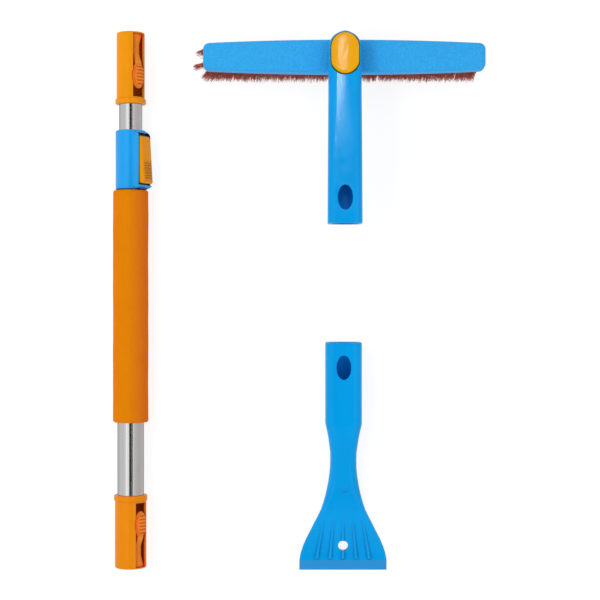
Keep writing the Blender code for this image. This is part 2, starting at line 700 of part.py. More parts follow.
def brush_neck():
    """A moulded arm: socket at its near end, and a round head over the pivot at its far end."""
    place = (HEAD_X, 0, 0)
    edge = 0.0008
    rings = [neck_section(NECK_RIM_Y, NECK_RIM_HALF_WIDTH - edge, NECK_RIM_TOP - edge),
             neck_section(NECK_RIM_Y + edge, NECK_RIM_HALF_WIDTH, NECK_RIM_TOP)]
    for y in spaced(NECK_RIM_Y + 0.06, NECK_HEAD_Y, 9):
        share = (y - NECK_RIM_Y) / (NECK_HEAD_Y - NECK_RIM_Y)
        rings.append(neck_section(y, NECK_RIM_HALF_WIDTH + (NECK_HALF_WIDTH - NECK_RIM_HALF_WIDTH) * share,
                                  NECK_RIM_TOP + (NECK_TOP - NECK_RIM_TOP) * share))
    for angle in (14, 28, 40, 50, 59, 67, 74, 80, 85):
        swing = math.radians(angle)
        out = NECK_HALF_WIDTH * math.sin(swing)
        beyond = max(0.0, out - (NECK_HALF_WIDTH - NECK_CORNER))
        drop = NECK_CORNER - math.sqrt(NECK_CORNER**2 - beyond**2)
        rings.append(neck_section(NECK_HEAD_Y + out, NECK_HALF_WIDTH * math.cos(swing), NECK_TOP - drop))
    made = loft("brush_neck", rings, blue(), place=place)
    bore = UPPER_BODY + SOCKET_PLAY
    axis_z = (NECK_RIM_TOP + NECK_BOTTOM) / 2
    socket_end = NECK_RIM_Y + SOCKET_DEPTH
    recess = stadium(CAP_RADIUS + CAP_GAP, CAP_HALF_STRAIGHT)
    cap_place = (HEAD_X, PIVOT_Y + CAP_SHIFT, 0)
    hollow = [[(x, y, axis_z - 0.0012 + z) for x, z in rounded_rectangle(0.0140, 0.0125, 0.0070)]
              for y in (socket_end - 0.002, 0.2560)]
    cut(made,
        turned("socket", ((bore, NECK_RIM_Y - 0.01), (bore, socket_end)), place=(HEAD_X, 0, axis_z)),
        loft("hollow", hollow, place=place),
        upright("recess", recess, NECK_FLOOR, 0.12, place=cap_place),
        upright("floor_hole", circle(BOSS_RADIUS + 0.0004), 0.05, NECK_FLOOR + 0.001, place=HEAD_PLACE),
        upright("latch_hole", ellipse(HOLE_HALF_WIDTH, HOLE_HALF_LENGTH), axis_z, 0.12,
                place=(HEAD_X, NECK_RIM_Y + HOLE_FROM_RIM, 0)))


def pivot_cap():
    """The push button: a domed cap with a stem that carries the lock gear."""
    place = (HEAD_X, PIVOT_Y + CAP_SHIFT, 0)
    drop_aside, round_over = 0.0040, 0.0030
    rings = [[(x, y, CAP_SKIRT) for x, y in stadium(CAP_RADIUS, CAP_HALF_STRAIGHT)]]
    for inset, rise in ((0, 0), (0.0006, 0.5), (0.0018, 0.8), (0.0040, 0.97), (0.0080, 1), (0.0120, 1)):
        ring = []
        for x, y in stadium(CAP_RADIUS - inset, CAP_HALF_STRAIGHT):
            ring.append((x, y, CAP_CREST - drop_aside * (x / CAP_RADIUS) ** 2 - round_over * (1 - rise)))
        rings.append(ring)
    made = loft("pivot_cap", rings, orange(), place=place)
    stem = [[(x, y - CAP_SHIFT, z) for x, y in circle(radius, 24)]
            for radius, z in ((0.0024, GEAR_BOTTOM + 0.0002), (0.0024, GEAR_TOP + GAP),
                              (0.0052, GEAR_TOP + GAP), (0.0052, CAP_SKIRT + 0.001))]
    join(made, loft("stem", stem, place=place))


def lock_gear():
    outline = []
    for tooth in range(GEAR_TEETH):
        for share, radius in ((0.0, 0.86), (0.26, 0.86), (0.36, 1.0), (0.64, 1.0), (0.74, 0.86)):
            angle = 2 * math.pi * (tooth + share) / GEAR_TEETH
            outline.append((GEAR_RADIUS * radius * math.cos(angle), GEAR_RADIUS * radius * math.sin(angle)))
    made = upright("lock_gear", outline, GEAR_BOTTOM, GEAR_TOP, steel(), HEAD_PLACE)
    cut(made, upright("bore", circle(0.0024 + GAP, 24), 0.05, 0.08, place=HEAD_PLACE))


def pivot_spring():
    """A compression spring between the block and the lock gear."""
    wire, coil, turns, steps, facets = 0.0006, 0.0056, 4, 12, 5
    low = SPRING_SEAT + wire + GAP
    high = GEAR_BOTTOM - wire - GAP
    rings = []
    for i in range(turns * steps + 1):
        share = i / (turns * steps)
        angle = 2 * math.pi * turns * share
        out = Vector((math.cos(angle), math.sin(angle), 0))
        middle = out * coil + Vector((0, 0, low + (high - low) * share))
        rings.append([middle + wire * (a * out + b * Vector((0, 0, 1))) for a, b in circle(1, facets)])
    loft("pivot_spring", rings, steel(), place=HEAD_PLACE)


# ---------------------------------------------------------------- scraper

SCRAPER_WIDTH = ((-0.1456, 0.0217), (-0.1520, 0.0202), (-0.1608, 0.0184), (-0.1704, 0.0171),
                 (-0.1803, 0.0158), (-0.1902, 0.0157), (-0.2001, 0.0160), (-0.2102, 0.0171),
                 (-0.2202, 0.0187), (-0.2303, 0.0208), (-0.2403, 0.0234), (-0.2528, 0.0276),
                 (-0.2651, 0.0340), (-0.2773, 0.0399), (-0.2896, 0.0462), (-0.3016, 0.0506),
                 (-0.3087, 0.0525), (-0.3130, 0.0529), (SCRAPER_TIP_Y, 0.0529))
SCRAPER_HEIGHT = ((-0.1456, 0.0434), (-0.1600, 0.0405), (-0.1850, 0.0315), (-0.2150, 0.0220),
                  (-0.2450, 0.0140), (-0.2750, 0.0085), (-0.3000, 0.0058), (-0.3120, 0.0050))
BEVEL_Y = -0.3125
BLADE_EDGE = 0.0014
RIB_SPREAD_NEAR = 0.0318
RIB_SPREAD_FAR = 0.0228
RIB_HALF_WIDTH = 0.0015
RIB_HIGH = 0.0029
RIB_START_Y = -0.3106
RIB_END_Y = -0.2600
THUMB_X = 0.0015
THUMB_Y = -0.2236
THUMB_RADIUS = 0.0062
THUMB_TILT = math.radians(24)


def scraper_section(y, inset=0.0):
    half = curve_at(SCRAPER_WIDTH, y)
    high = curve_at(SCRAPER_HEIGHT, y)
    if y < BEVEL_Y:
        share = (y - BEVEL_Y) / (SCRAPER_TIP_Y - BEVEL_Y)
        high += (BLADE_EDGE - high) * share
    half -= inset
    high -= inset
    return half, high


def curve_at(stations, y):
    return eased([(-station, value) for station, value in stations], -y)


def scraper_ring(y, half, high, low=0.0, corner=0.0100):
    middle = (low + high) / 2
    return [(x, y, middle + z) for x, z in rounded_rectangle(half, (high - low) / 2, corner, 5)]


def scraper_body():
    place = (SCRAPER_X, 0, 0)
    edge = 0.0008
    rings = [scraper_ring(SCRAPER_RIM_Y, SCRAPER_SOCKET_HALF - edge, 2 * SCRAPER_SOCKET_HALF - edge, edge),
             scraper_ring(SCRAPER_RIM_Y - edge, SCRAPER_SOCKET_HALF, 2 * SCRAPER_SOCKET_HALF)]
    for y in spaced(SCRAPER_WIDTH[0][0], BEVEL_Y, 20) + [SCRAPER_TIP_Y]:
        rings.append(scraper_ring(y, *scraper_section(y)))
    made = loft("scraper", rings, blue(), place=place)
    bore = LOWER_BODY + SOCKET_PLAY
    socket_end = SCRAPER_RIM_Y - SOCKET_DEPTH
    under = [scraper_ring(y, *scraper_section(y, SCRAPER_WALL), low=-0.02, corner=0.0060)
             for y in spaced(socket_end - 0.006, -0.2600, 8)]
    cut(made,
        turned("socket", ((bore, socket_end), (bore, SCRAPER_RIM_Y + 0.01)),
               place=(SCRAPER_X, 0, SCRAPER_SOCKET_HALF)),
        loft("under", under, place=place),
        upright("latch_hole", ellipse(HOLE_HALF_WIDTH, HOLE_HALF_LENGTH), SCRAPER_SOCKET_HALF, 0.06,
                place=(SCRAPER_X, SCRAPER_RIM_Y - HOLE_FROM_RIM, 0)))
    for share in spaced(-1, 1, 5):
        join(made, scraper_rib(RIB_SPREAD_NEAR * share, RIB_SPREAD_FAR * share, place))
    hole_place = (SCRAPER_X, HANG_HOLE_Y, 0)
    cut(made, upright("hang_hole", circle(HANG_HOLE_RADIUS, 32), -0.01, 0.06, place=hole_place), thumb_mark())


def thumb_mark():
    """The tool for a shallow crescent, part of a round dimple that is deepest at its blade side."""
    top = scraper_section(THUMB_Y)[1]
    levels = ((THUMB_RADIUS - 0.0010, -0.0004), (THUMB_RADIUS, 0.0006), (THUMB_RADIUS, 0.0100))
    rings = [[(x, y, z) for x, y in circle(radius, 32)] for radius, z in levels]
    tilt = Matrix.Rotation(THUMB_TILT, 4, "X")
    return loft("thumb_mark", rings, place=(SCRAPER_X + THUMB_X, THUMB_Y, top), turn=tilt)


def scraper_rib(near, far, place):
    """A low ridge on the blade's face, highest at the blade end and running out towards the handle."""
    rings = []
    for share in spaced(0, 1, 6):
        y = RIB_START_Y + (RIB_END_Y - RIB_START_Y) * share
        x = near + (far - near) * share
        top = scraper_section(y)[1]
        rise = RIB_HIGH * math.sqrt(1 - share) - 0.0003 * share
        half = RIB_HALF_WIDTH * (1 - 0.5 * share)
        foot = half + 0.0014 * (1 - 0.3 * share)
        rings.append([(x - foot, y, top - 0.0015), (x + foot, y, top - 0.0015), (x + foot, y, top - 0.0001),
                      (x + half, y, top + rise * 0.8), (x, y, top + rise), (x - half, y, top + rise * 0.8),
                      (x - foot, y, top - 0.0001)])
    return loft("rib", rings, place=place)


# ---------------------------------------------------------------- assembly

def main():
    for item in list(bpy.data.objects):
        bpy.data.objects.remove(item)
    outer_tube()
    inner_tube()
    foam_grip()
    tail_bush()
    guide_sleeve()
    clamp_housing()
    clamp_lever()
    lever_pin()
    brake_shoe()
    connectors()
    brush_block()
    retainer_ring()
    bristle_rows()
    brush_neck()
    pivot_cap()
    lock_gear()
    pivot_spring()
    scraper_body()


main()
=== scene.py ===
"""Looks of the telescopic snow brush and ice scraper kit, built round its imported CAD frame."""

import math

import bmesh
import bpy
import numpy as np
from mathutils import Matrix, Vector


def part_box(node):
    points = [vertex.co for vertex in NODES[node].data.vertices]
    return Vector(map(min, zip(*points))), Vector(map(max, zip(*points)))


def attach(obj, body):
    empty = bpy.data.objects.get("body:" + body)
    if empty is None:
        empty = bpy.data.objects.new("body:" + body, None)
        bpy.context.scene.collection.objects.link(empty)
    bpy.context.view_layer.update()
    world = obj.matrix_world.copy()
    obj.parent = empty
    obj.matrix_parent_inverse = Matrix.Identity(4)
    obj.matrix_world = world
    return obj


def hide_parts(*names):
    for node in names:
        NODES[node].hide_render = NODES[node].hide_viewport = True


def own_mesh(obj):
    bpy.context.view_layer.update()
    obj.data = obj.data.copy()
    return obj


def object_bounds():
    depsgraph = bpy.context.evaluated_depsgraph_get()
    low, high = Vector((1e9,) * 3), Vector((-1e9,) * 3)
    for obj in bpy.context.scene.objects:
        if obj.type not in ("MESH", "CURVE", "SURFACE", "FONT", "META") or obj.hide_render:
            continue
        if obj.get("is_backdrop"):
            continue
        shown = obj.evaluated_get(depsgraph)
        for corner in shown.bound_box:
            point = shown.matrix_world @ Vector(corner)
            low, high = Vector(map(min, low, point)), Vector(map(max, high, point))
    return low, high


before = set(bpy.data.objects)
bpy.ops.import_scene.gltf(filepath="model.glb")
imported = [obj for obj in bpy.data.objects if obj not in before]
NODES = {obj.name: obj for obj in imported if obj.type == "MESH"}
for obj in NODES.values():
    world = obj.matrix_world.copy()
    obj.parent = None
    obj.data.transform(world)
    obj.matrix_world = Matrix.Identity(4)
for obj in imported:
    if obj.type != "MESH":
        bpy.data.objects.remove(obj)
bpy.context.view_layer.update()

# Foam sleeve
FOAM_LIP = 0.0026                       # radius of its rolled ends
FOAM_LIP_STEPS = 7
FOAM_END_RING = 0.0012                  # on its flat end, from the rolled edge inwards
FOAM_BORE_GAP = 0.0002
FOAM_BORE_SLOPE = (0.0010, 0.0006)      # depth and width of the slope into its bore
FOAM_SWELL = 0.00022                    # how far its skin wanders inwards
FOAM_END_SWELL = 0.3                    # share of that on its flat ends
FOAM_WAVES = ((46, 1, 1.0), (83, -2, 1.0), (171, 3, 0.6))       # radians a metre, turns around, weight
FOAM_SEED = 4
FOAM_SIDES = 96
FOAM_RINGS = 120

# Bristles
TUFT_STEP = 0.0060
TUFT_BRISTLES = (80, 36, 36, 60)        # in each tuft, row by row
TUFT_RADIUS = 0.0031
ROOT_SPREAD = 0.8                       # of the tuft's radius, where it enters the block
TIP_SPREAD = (1.35, 1.3)                # of the tuft's radius, at the tips
ROOT_MARGINS = (0.0145, 0.0015)         # from the row's left and right ends to its tufts
OUTER_ROW = 0.0111                      # from the block's middle line to the outer rows
LEFT_LEAN = 0.0010                      # of every tuft
END_FLARE = (0.010, 0.021, 0.010, 0.018)        # extra lean of each row's leftmost tufts
END_FADE = 9                            # how fast that lean dies out along the row
SIDE_FLARE = 0.0075                     # how far the outer rows' tips splay outwards
TIP_HEIGHT = 0.0004                     # of the longest bristles' tips
TIP_LIMITS = (0.008, 0.003)             # how far tips may pass the row's left and right ends
TUFT_SCATTER = (0.0007, 0.0006)         # of a tuft's lean and its shortness
TIP_SCATTER = (0.0011, 0.0008, 0.0016)
BOW_SCATTER = 0.0006
BOW_HOOK = 0.6                          # share of an S-bend in each bristle's bow
BRISTLE_RADIUS = 0.00033
BRISTLE_THICKNESS = (0.75, 1.2)         # thinnest and thickest share of that radius
BRISTLE_TAPER = 0.45
BRISTLE_RINGS = 6
BRISTLE_SIDES = 3
BRISTLE_ROOT_DEPTH = 0.0004
ROW_SEED = 20                           # plus the row's number

# Head spring
SPRING_WIRE = 0.0006
SPRING_TURNS = 5
SPRING_STEPS = 32
SPRING_FACETS = 10

# Camera
CAMERA_SPOT = (0.00285, 0.00245, 1.821)
LENS = 90.0
SENSOR_WIDTH = 36.0
VIEW_DEPTH = 60.0

# Lights and floor
WORLD_STRENGTH = 0.58
LIGHT_HEIGHT = 1.45
GAP_LEFT = -0.56                        # the dark gap between the softboxes, which the tubes mirror
GAP_RIGHT = 0.30
LEFT_STRIPS = ((0.20, 0.52), (0.30, 0.36), (0.40, 0.22), (0.40, 0.08))  # width and brightness, outwards
RIGHT_STRIPS = ((0.20, 0.80), (0.30, 0.50), (0.40, 0.34), (0.40, 0.26))
STRIP_LENGTH = 3.0
FILL_WIDTH = 1.3
FILL_LEFT, FILL_RIGHT = 0.92, 0.38
NECK_LAMPS = (((0.22, 0.10), 16.0), ((0.36, 0.16), 11.0))       # size and brightness
SIDE_LAMPS = (-1.25, 1.35)
CAP_LAMP_HUE = (1.0, 1.1, 2.8)          # these hues make up for the mouldings' own tinted gloss
NECK_LAMP_HUE = (4.2, 1.3, 0.7)
SIDE_LAMP_HUE = (3.0, 0.5, 0.2)
DARK_CARD_HALF = (0.55, 2.2)
DARK_CARD_HEIGHT = 2.35
PALE_CARD_HEIGHT = 0.12
FLOOR_REACH = 12.0
FLOOR_DROP = 0.0003

# Colours and surfaces
# Each second colour is painted shade, blended in where ambient occlusion finds crevices, holes and gaps
BLUE, BLUE_PAINTED_SHADE = "#03a0ec", "#011440"
ORANGE, ORANGE_PAINTED_SHADE = "#f0960a", "#ff5030"
# The drift from the left colour to the right one is painted shade: lighter on the left, darker and redder on
# the right
FOAM_COLOURS_AND_SIDE_SHADE = ("#ec7e03", "#e48504", "#e2661e")        # left, middle and right
BLUE_GLOSS = (0.22, 0.66, 1.0)
HOUSING_GLOSS = (0.60, 0.85, 1.0)
ORANGE_GLOSS = (1.0, 0.72, 0.30)
TUBE_GLOSS = (0.45, 0.45, 0.46)
SCRAPER_BEVEL = 0.0122                  # length of the scraper's bevelled edge, which carries a painted reflection band
BEVEL_BLUR = 0.0002
# Reach and samples of the ambient occlusion that lays painted shade into crevices, holes and gaps
PAINTED_SHADE_REACH = 0.014
PAINTED_SHADE_SAMPLES = 8
EDGE_SAMPLES = 6


# ---------------------------------------------------------------- material nodes


def put(tree, kind, props=None, **inputs):
    """Adds a node. Inputs go by name, or by number as i0, i1 and so on: a socket is linked, and any other
    value is set."""
    made = tree.nodes.new("ShaderNode" + kind)
    for key, value in (props or {}).items():
        setattr(made, key, value)
    for key, value in inputs.items():
        socket = made.inputs[int(key[1:])] if key[1:].isdigit() else made.inputs[key.replace("_", " ")]
        if isinstance(value, bpy.types.NodeSocket):
            tree.links.new(value, socket)
        else:
            socket.default_value = value
    return made


def new_look(name, metallic=0.0, specular=0.5, gloss=(1.0, 1.0, 1.0)):
    """A new Principled material: the material, its node tree and its shader."""
    look = bpy.data.materials.new(name)
    look.use_nodes = True
    shader = look.node_tree.nodes["Principled BSDF"]
    shader.inputs["Metallic"].default_value = metallic
    shader.inputs["Specular IOR Level"].default_value = specular
    shader.inputs["Specular Tint"].default_value = (*gloss, 1.0)
    return look, look.node_tree, shader


def surface(tree, shader, colour, rough, relief):
    """Links the three inputs that vary over every piece."""
    for key, socket in (("Base Color", colour), ("Roughness", rough), ("Normal", relief)):
        tree.links.new(socket, shader.inputs[key])


def place_on(tree, stretch=(1, 1, 1)):
    """The object's own coordinates in metres, stretched."""
    here = put(tree, "TexCoord").outputs["Object"]
    return put(tree, "Mapping", Vector=here, Scale=stretch).outputs["Vector"]


def coordinate(tree, where, axis):
    return put(tree, "SeparateXYZ", Vector=where).outputs[axis]


def noise(tree, where, scale, detail=3.0, rough=0.5):
    return put(tree, "TexNoise", Vector=where, Scale=scale, Detail=detail, Roughness=rough).outputs["Fac"]


def levels(tree, value, low, high, out_low=0.0, out_high=1.0):
    """value, from low to high, moved to out_low to out_high and held there beyond."""
    made = put(tree, "MapRange", Value=value)
    for key, number in (("From Min", low), ("From Max", high), ("To Min", out_low), ("To Max", out_high)):
        made.inputs[key].default_value = number
    return made.outputs["Result"]


def blend_colours(tree, amount, a, b):
    """Colour a where amount is 0, and b where it is 1."""
    made = put(tree, "Mix", {"data_type": "RGBA"}, i0=amount)
    for index, value in ((6, a), (7, b)):
        if isinstance(value, bpy.types.NodeSocket):
            tree.links.new(value, made.inputs[index])
        else:
            made.inputs[index].default_value = (*value, 1.0)
    return made.outputs[2]


def ramp(tree, value, stops):
    """A colour ramp through (position, colour) stops."""
    made = put(tree, "ValToRGB", Fac=value)
    band = made.color_ramp
    while len(band.elements) < len(stops):
        band.elements.new(0.5)
    for element, (position, colour) in zip(band.elements, stops):
        element.position = position
        element.color = (*colour, 1.0)
    return made.outputs["Color"]


def combine(tree, operation, a, b):
    return put(tree, "Math", {"operation": operation}, i0=a, i1=b).outputs["Value"]


def bump(tree, height, depth, base=None):
    """A bump normal from height, whose full swing is depth in metres, over another normal if given."""
    made = put(tree, "Bump", Height=height, Strength=1.0, Distance=depth)
    if base:
        tree.links.new(base, made.inputs["Normal"])
    return made.outputs["Normal"]


def rounded_edges(tree, radius):
    """A normal that rounds the piece's edges."""
    return put(tree, "Bevel", {"samples": EDGE_SAMPLES}, Radius=radius).outputs["Normal"]


def near_corners(tree, rounded):
    """How near an edge each point lies, from 0 to 1, by how far its rounded normal turns."""
    flat = put(tree, "NewGeometry").outputs["Normal"]
    along = put(tree, "VectorMath", {"operation": "DOT_PRODUCT"}, i0=rounded, i1=flat).outputs["Value"]
    return levels(tree, along, 0.995, 0.80)


def srgb(code):
    """Linear colour of a #rrggbb code."""
    parts = [int(code[i : i + 2], 16) / 255 for i in (1, 3, 5)]
    return tuple(p / 12.92 if p <= 0.04045 else ((p + 0.055) / 1.055) ** 2.4 for p in parts)


def grey(tone):
    return (tone, tone, tone)


def shade(colour, factor):
    return tuple(min(1.0, c * factor) for c in colour)


def paler(colour, share):
    """The colour moved this share of the way to white."""
    return tuple(c + (1 - c) * share for c in colour)


# ---------------------------------------------------------------- materials


def plastic(name, code, painted_shade, rough, specular, gloss, ripple=0.00006, painted_shade_levels=(0.16, 0.94), painted_reflection_band=None):
    """Satin moulded plastic: flow marks, fine spark, painted shade darkening its crevices, holes and gaps,
    worn corners and smears. The last argument, if given, is the Y below which a lighter painted reflection
    lies on its face, and that colour."""
    look, tree, shader = new_look(name, specular=specular, gloss=gloss)
    main = srgb(code)
    where = place_on(tree)
    flow = noise(tree, place_on(tree, (1.0, 0.35, 1.0)), 26.0, detail=4.0, rough=0.55)
    colour = ramp(tree, flow, ((0.30, shade(main, 0.93)), (0.52, main), (0.75, shade(main, 1.06))))
    # Painted shade: the dark colour is blended in where ambient occlusion finds crevices, holes and gaps
    sky = put(tree, "AmbientOcclusion", {"samples": PAINTED_SHADE_SAMPLES}, Distance=PAINTED_SHADE_REACH).outputs["AO"]
    colour = blend_colours(tree, levels(tree, sky, *painted_shade_levels), srgb(painted_shade), colour)
    # Painted reflection: a lighter, greyer band below the given Y, standing in for what the bevel mirrors
    if painted_reflection_band:
        edge, tone = painted_reflection_band
        above = levels(tree, coordinate(tree, where, "Y"), edge - BEVEL_BLUR, edge + BEVEL_BLUR)
        colour = blend_colours(tree, above, srgb(tone), colour)
    rounded = rounded_edges(tree, radius=0.0007)
    scuffs = levels(tree, noise(tree, where, 420.0, detail=5.0, rough=0.65), 0.46, 0.66)
    scuffed_corners = combine(tree, "MULTIPLY", near_corners(tree, rounded), scuffs)
    worn = combine(tree, "MULTIPLY", scuffed_corners, 0.35)
    smear = noise(tree, where, 60.0, detail=4.0, rough=0.6)
    smeared = levels(tree, smear, 0.3, 0.7, rough - 0.05, rough + 0.06)
    spark = noise(tree, where, 1900.0, detail=2.0, rough=0.6)
    waves = noise(tree, where, 75.0, detail=2.0, rough=0.4)
    surface(tree, shader, blend_colours(tree, worn, colour, paler(main, 0.22)),
            combine(tree, "ADD", smeared, combine(tree, "MULTIPLY", worn, 0.2)),
            bump(tree, spark, 0.000016, bump(tree, waves, ripple, rounded)))
    return look


def textured_block(name, code, rough):
    """The brush block's leathery moulded face."""
    look, tree, shader = new_look(name, specular=0.25, gloss=BLUE_GLOSS)
    main = srgb(code)
    where = place_on(tree)
    cells = put(tree, "TexVoronoi", {"feature": "SMOOTH_F1"}, Vector=where, Scale=620.0, Smoothness=0.6)
    grain = levels(tree, cells.outputs["Distance"], 0.05, 0.75)
    speckle = noise(tree, where, 900.0, detail=4.0, rough=0.65)
    mottle = combine(tree, "ADD", combine(tree, "MULTIPLY", grain, 0.55),
                     combine(tree, "MULTIPLY", speckle, 0.45))
    colour = ramp(tree, mottle, ((0.20, shade(main, 0.86)), (0.45, main), (0.72, shade(main, 1.13))))
    rounded = rounded_edges(tree, radius=0.0012)
    rub = noise(tree, where, 300.0, detail=4.0)
    worn = combine(tree, "MULTIPLY", near_corners(tree, rounded), levels(tree, rub, 0.45, 0.65, 0.0, 0.5))
    surface(tree, shader, blend_colours(tree, worn, colour, paler(main, 0.16)),
            levels(tree, speckle, 0.3, 0.7, rough - 0.07, rough + 0.08),
            bump(tree, speckle, 0.00008, bump(tree, grain, 0.00016, rounded)))
    return look


def foam_look(name, left, right):
    """Closed-cell foam: fine pores, mottled skin and a faint sheen, with painted shade drifting from a
    lighter left to a darker, redder right.
    """
    look, tree, shader = new_look(name, specular=0.05)
    shader.inputs["Sheen Weight"].default_value = 0.02
    shader.inputs["Sheen Roughness"].default_value = 0.5
    shader.inputs["Sheen Tint"].default_value = (1.0, 0.72, 0.42, 1.0)
    lit_left_colour, main, shaded_right_colour = (srgb(code) for code in FOAM_COLOURS_AND_SIDE_SHADE)
    where = place_on(tree)
    pores = put(tree, "TexVoronoi", {"feature": "F1"}, Vector=where, Scale=1050.0, Randomness=1.0)
    pore = levels(tree, pores.outputs["Distance"], 0.12, 0.55)
    fine = noise(tree, where, 1500.0, detail=4.0, rough=0.7)
    broad = noise(tree, where, 38.0, detail=5.0, rough=0.6)
    # Painted shade: lighter and yellower on the left, darker and redder on the right
    across = levels(tree, coordinate(tree, where, "X"), left, right)
    side_shaded_colour = ramp(tree, across, ((0.05, lit_left_colour), (0.45, main), (0.95, shaded_right_colour)))
    patches = ramp(tree, broad, ((0.28, grey(0.90)), (0.50, grey(0.97)), (0.74, grey(1.0))))
    multiply = {"data_type": "RGBA", "blend_type": "MULTIPLY"}
    body = put(tree, "Mix", multiply, i0=1.0, i6=side_shaded_colour, i7=patches).outputs[2]
    grain = levels(tree, fine, 0.32, 0.68)
    speck = blend_colours(tree, grain, shade(main, 0.80), shade(main, 1.16))
    relief = bump(tree, fine, 0.00011, bump(tree, pore, 0.00018))
    surface(tree, shader, blend_colours(tree, levels(tree, pore, 0.0, 1.0, 0.62, 0.25), body, speck),
            levels(tree, fine, 0.3, 0.7, 0.78, 0.92), bump(tree, broad, 0.0005, relief))
    return look


def tube_look(name, tone):
    """Polished drawn aluminium, with fine lines along the tube and a few rub marks."""
    look, tree, shader = new_look(name, metallic=1.0, gloss=TUBE_GLOSS)
    drawn = noise(tree, place_on(tree, (1.0, 0.012, 1.0)), 2600.0, detail=4.0, rough=0.7)
    rubs = noise(tree, place_on(tree, (0.5, 1.0, 0.5)), 170.0, detail=5.0, rough=0.65)
    colour = ramp(tree, drawn, ((0.30, grey(tone * 0.93)), (0.55, (tone, tone, tone * 1.004)),
                                (0.80, grey(tone * 1.03))))
    rough_map = combine(tree, "ADD", levels(tree, drawn, 0.3, 0.7, 0.10, 0.13),
                        levels(tree, rubs, 0.58, 0.78, 0.0, 0.07))
    surface(tree, shader, colour, rough_map, bump(tree, drawn, 0.0000015))
    return look


def steel_look(name):
    """Zinc-plated steel with a mottled plate and turning marks."""
    look, tree, shader = new_look(name, metallic=1.0)
    patches = noise(tree, place_on(tree), 700.0, detail=4.0, rough=0.6)
    colour = ramp(tree, patches, ((0.30, (0.42, 0.43, 0.45)), (0.55, (0.56, 0.57, 0.58)),
                                  (0.80, (0.66, 0.65, 0.62))))
    marks = noise(tree, place_on(tree, (1.0, 1.0, 6.0)), 1500.0, detail=3.0, rough=0.6)
    surface(tree, shader, colour, levels(tree, patches, 0.3, 0.7, 0.26, 0.42),
            bump(tree, marks, 0.00002, rounded_edges(tree, radius=0.0002)))
    return look


def matte_look(name, code, rough, grain_scale, depth):
    """Plain matte moulding or rubber: speckled colour, grain and uneven sheen."""
    look, tree, shader = new_look(name, specular=0.35)
    main = srgb(code)
    speckle = noise(tree, place_on(tree), grain_scale, detail=4.0, rough=0.6)
    colour = ramp(tree, speckle, ((0.28, shade(main, 0.85)), (0.52, main), (0.78, shade(main, 1.12))))
    surface(tree, shader, colour, levels(tree, speckle, 0.3, 0.7, rough - 0.08, rough + 0.08),
            bump(tree, speckle, depth, rounded_edges(tree, radius=0.0003)))
    return look


def bristle_look(name, height):
    """Red-brown filament, dusty at its frayed tip, with painted shade darkening it towards its root under the
    block, each strand its own tone.
    """
    look, tree, shader = new_look(name, specular=0.3)
    level = levels(tree, coordinate(tree, place_on(tree), "Z"), 0.0, height)
    strand = noise(tree, place_on(tree, (1.0, 1.0, 0.03)), 1300.0, detail=2.0, rough=0.5)
    # Painted shade: darker towards the root, under the block
    along = ramp(tree, level, ((0.0, srgb("#b8583e")), (0.14, srgb("#d45a4e")), (0.5, srgb("#c4483e")),
                               (1.0, srgb("#5e221c"))))
    varied = blend_colours(tree, levels(tree, strand, 0.34, 0.66), srgb("#6c241e"), srgb("#e27454"))
    lines = noise(tree, place_on(tree, (1.0, 1.0, 0.1)), 5200.0, detail=2.0, rough=0.6)
    surface(tree, shader, blend_colours(tree, 0.58, along, varied),
            levels(tree, strand, 0.3, 0.7, 0.48, 0.68), bump(tree, lines, 0.00003))
    return look


def floor_look():
    """Plain pale paper sweep, lit from within so that it stays near white."""
    look, tree, shader = new_look("pale_floor", specular=0.1)
    paper = noise(tree, place_on(tree), 9.0)
    colour = ramp(tree, paper, ((0.3, grey(0.24)), (0.7, grey(0.26))))
    tree.links.new(colour, shader.inputs["Base Color"])
    shader.inputs["Roughness"].default_value = 0.9
    shader.inputs["Emission Color"].default_value = (1.0, 1.0, 1.0, 1.0)
    shader.inputs["Emission Strength"].default_value = 0.82
    return look


# ---------------------------------------------------------------- new pieces


def mesh_piece(name, points, faces, look):
    """A smooth-shaded object from points and faces."""
    mesh = bpy.data.meshes.new(name)
    mesh.from_pydata([tuple(p) for p in points], [], faces)
    mesh.materials.append(look)
    mesh.polygons.foreach_set("use_smooth", [True] * len(mesh.polygons))
    piece = bpy.data.objects.new(name, mesh)
    bpy.context.scene.collection.objects.link(piece)
    return piece


def outward(piece):
    """Turns a closed mesh's faces outwards."""
    work = bmesh.new()
    work.from_mesh(piece.data)
    bmesh.ops.recalc_face_normals(work, faces=work.faces)
    work.to_mesh(piece.data)
    work.free()
    return piece


def foam_outline(low_y, high_y, outer, bore):
    """The sleeve's section as (y, radius, swell) points, from one end of its bore to the other."""
    depth, width = FOAM_BORE_SLOPE
    end = [(low_y + depth, bore, 0.0), (low_y, bore + width, 0.0),
           (low_y, outer - FOAM_LIP - FOAM_END_RING, FOAM_END_SWELL)]
    for i in range(FOAM_LIP_STEPS + 1):
        turn = math.pi / 2 * i / FOAM_LIP_STEPS
        end.append((low_y + FOAM_LIP * (1 - math.cos(turn)), outer - FOAM_LIP * (1 - math.sin(turn)),
                    FOAM_END_SWELL + (1 - FOAM_END_SWELL) * i / FOAM_LIP_STEPS))
    run = np.linspace(low_y + FOAM_LIP, high_y - FOAM_LIP, FOAM_RINGS)[1:-1]
    other_end = [(low_y + high_y - y, radius, swell) for y, radius, swell in reversed(end)]
    return end + [(y, outer, 1.0) for y in run] + other_end


